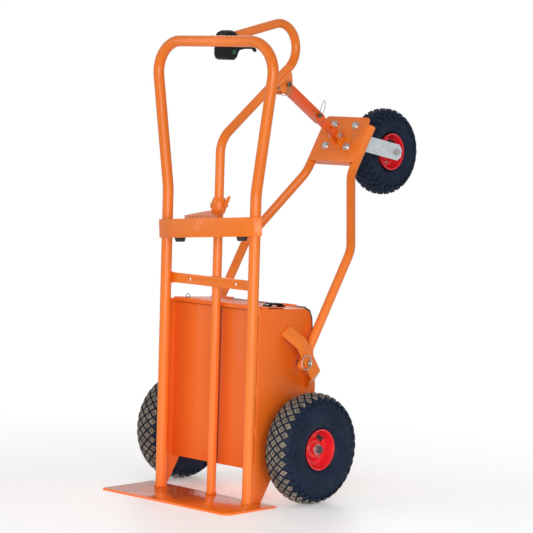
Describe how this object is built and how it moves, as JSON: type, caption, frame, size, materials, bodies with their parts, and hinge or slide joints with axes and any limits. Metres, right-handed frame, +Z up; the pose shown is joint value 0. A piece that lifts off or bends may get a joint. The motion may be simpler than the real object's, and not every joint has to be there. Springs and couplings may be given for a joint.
{
  "type": "hand truck",
  "caption": "Powered hand truck with a toe plate, a tall tube frame with a rear grip, a drive box, and a third swivel wheel on a folding A-frame held by a pinned telescopic stay.",
  "frame": {"origin": "on the floor under the toe plate, midway between the two uprights", "axes": "+Z up, +X to the truck's side across its width, -Y the front where the toe plate reaches out"},
  "size_m": [0.59, 0.9724, 1.2972],
  "materials": {
    "frame_paint": "glossy powder coat",
    "panel_paint": "satin powder coat",
    "stay_paint": "semi-gloss paint",
    "galvanised": "galvanised",
    "zinc": "zinc plated",
    "dark_steel": "blackened",
    "tyre_rubber": "matt moulded rubber",
    "rim_paint": "gloss enamel",
    "black_plastic": "fine moulded texture",
    "black_rubber": "matt",
    "battery_case": "moulded",
    "cast_casing": "cast",
    "lamp_green": "clear moulded"
  },
  "bodies": {
    "frame": {"toe_plate": "frame_paint", "right_upright": "frame_paint", "left_upright": "frame_paint", "centre_tube": "frame_paint", "rear_grip": "frame_paint", "crossbar": "frame_paint", "stay_bracket": "frame_paint", "right_side_panel": "panel_paint", "left_side_panel": "panel_paint", "front_panel": "panel_paint", "rear_cover": "panel_paint", "bottom_plate": "panel_paint", "lid_hinge_pin": "zinc", "battery_pack": "battery_case", "controller": "battery_case", "gear_motor": "cast_casing", "shaft_bearings": "dark_steel", "right_leg_bracket": "frame_paint", "left_leg_bracket": "frame_paint", "control_housing": "black_plastic", "control_lamp": "lamp_green", "lever_pin": "zinc"},
    "lid": {"lid": "panel_paint", "lid_hinge_knuckles": "panel_paint", "lid_handle": "black_plastic"},
    "a_frame": {"right_a_frame_leg": "frame_paint", "left_a_frame_leg": "frame_paint", "caster_plate": "frame_paint", "stay_lug": "frame_paint", "lug_bolt": "zinc", "caster_bolts": "zinc", "caster_top_plate": "galvanised", "caster_kingpin": "zinc"},
    "caster": {"caster_fork": "galvanised", "caster_axle": "zinc"},
    "caster_wheel": {"caster_tyre": "tyre_rubber", "caster_rim": "rim_paint", "caster_rim_bolts": "zinc"},
    "stay_inner": {"stay_inner_tube": "stay_paint"},
    "stay_outer": {"stay_outer_tube": "stay_paint"},
    "stay_lock_pin": {"stay_lock_pin": "dark_steel"},
    "stay_top_pin": {"stay_top_pin": "dark_steel"},
    "right_lynch_pin": {"right_lynch_pin": "zinc"},
    "left_lynch_pin": {"left_lynch_pin": "zinc"},
    "band": {"height_band": "frame_paint", "band_arms": "frame_paint", "band_collar": "frame_paint", "band_buffers": "black_rubber"},
    "wing_bolt": {"wing_bolt": "frame_paint"},
    "control_lever": {"control_lever": "black_plastic"},
    "right_wheel": {"right_drive_shaft": "dark_steel", "right_tyre": "tyre_rubber", "right_rim": "rim_paint", "right_rim_bolts": "zinc", "right_axle_nut": "zinc"},
    "left_wheel": {"left_drive_shaft": "dark_steel", "left_tyre": "tyre_rubber", "left_rim": "rim_paint", "left_rim_bolts": "zinc", "left_axle_nut": "zinc"}
  },
  "joints": [
    {"name": "right_wheel_spin", "type": "hinge", "parent": "frame", "child": "right_wheel", "pos_m": [0.249, 0.154, 0.15], "axis": [1, 0, 0], "continuous": true},
    {"name": "left_wheel_spin", "type": "hinge", "parent": "frame", "child": "left_wheel", "pos_m": [-0.249, 0.154, 0.15], "axis": [1, 0, 0], "continuous": true},
    {"name": "lid_open", "type": "hinge", "parent": "frame", "child": "lid", "pos_m": [0, 0.191, 0.521], "axis": [-1, 0, 0], "range_deg": [0, 95]},
    {"name": "a_frame_fold", "type": "hinge", "parent": "frame", "child": "a_frame", "pos_m": [0, 0.1658, 0.3747], "axis": [-1, 0, 0], "range_deg": [0, 65]},
    {"name": "caster_swivel", "type": "hinge", "parent": "a_frame", "child": "caster", "pos_m": [0, 0.52349, 0.97], "axis": [0, 0.8572, -0.515], "continuous": true},
    {"name": "caster_wheel_spin", "type": "hinge", "parent": "caster", "child": "caster_wheel", "pos_m": [0, 0.6954, 0.93379], "axis": [1, 0, 0], "continuous": true},
    {"name": "stay_fold", "type": "hinge", "parent": "a_frame", "child": "stay_inner", "pos_m": [0, 0.48985, 0.98042], "axis": [1, 0, 0], "range_deg": [0, 77.5]},
    {"name": "stay_slide", "type": "slide", "parent": "stay_inner", "child": "stay_outer", "axis": [0, 0.8482, -0.5296], "range_m": [0, 0.015]},
    {"name": "stay_lock_pin_pull", "type": "slide", "parent": "stay_outer", "child": "stay_lock_pin", "axis": [1, 0, 0], "range_m": [0, 0.05]},
    {"name": "stay_top_pin_pull", "type": "slide", "parent": "frame", "child": "stay_top_pin", "axis": [1, 0, 0], "range_m": [0, 0.06]},
    {"name": "right_lynch_pin_pull", "type": "slide", "parent": "frame", "child": "right_lynch_pin", "axis": [1, 0, 0], "range_m": [0, 0.06]},
    {"name": "left_lynch_pin_pull", "type": "slide", "parent": "frame", "child": "left_lynch_pin", "axis": [-1, 0, 0], "range_m": [0, 0.06]},
    {"name": "band_slide", "type": "slide", "parent": "frame", "child": "band", "axis": [0, 0, 1], "range_m": [-0.08, 0.035]},
    {"name": "wing_bolt_turn", "type": "hinge", "parent": "band", "child": "wing_bolt", "pos_m": [0, 0.03, 0.79], "axis": [1, 0, 0], "continuous": true},
    {"name": "control_lever_squeeze", "type": "hinge", "parent": "frame", "child": "control_lever", "pos_m": [0, 0.058, 1.20914], "axis": [1, 0, 0], "range_deg": [0, 12], "stiffness_Nm_per_rad": 1.5, "springref_deg": -14.32}
  ],
  "couplings": [
    {"joint": "stay_fold", "follows": "a_frame_fold", "ratio": 1.1768}
  ]
}
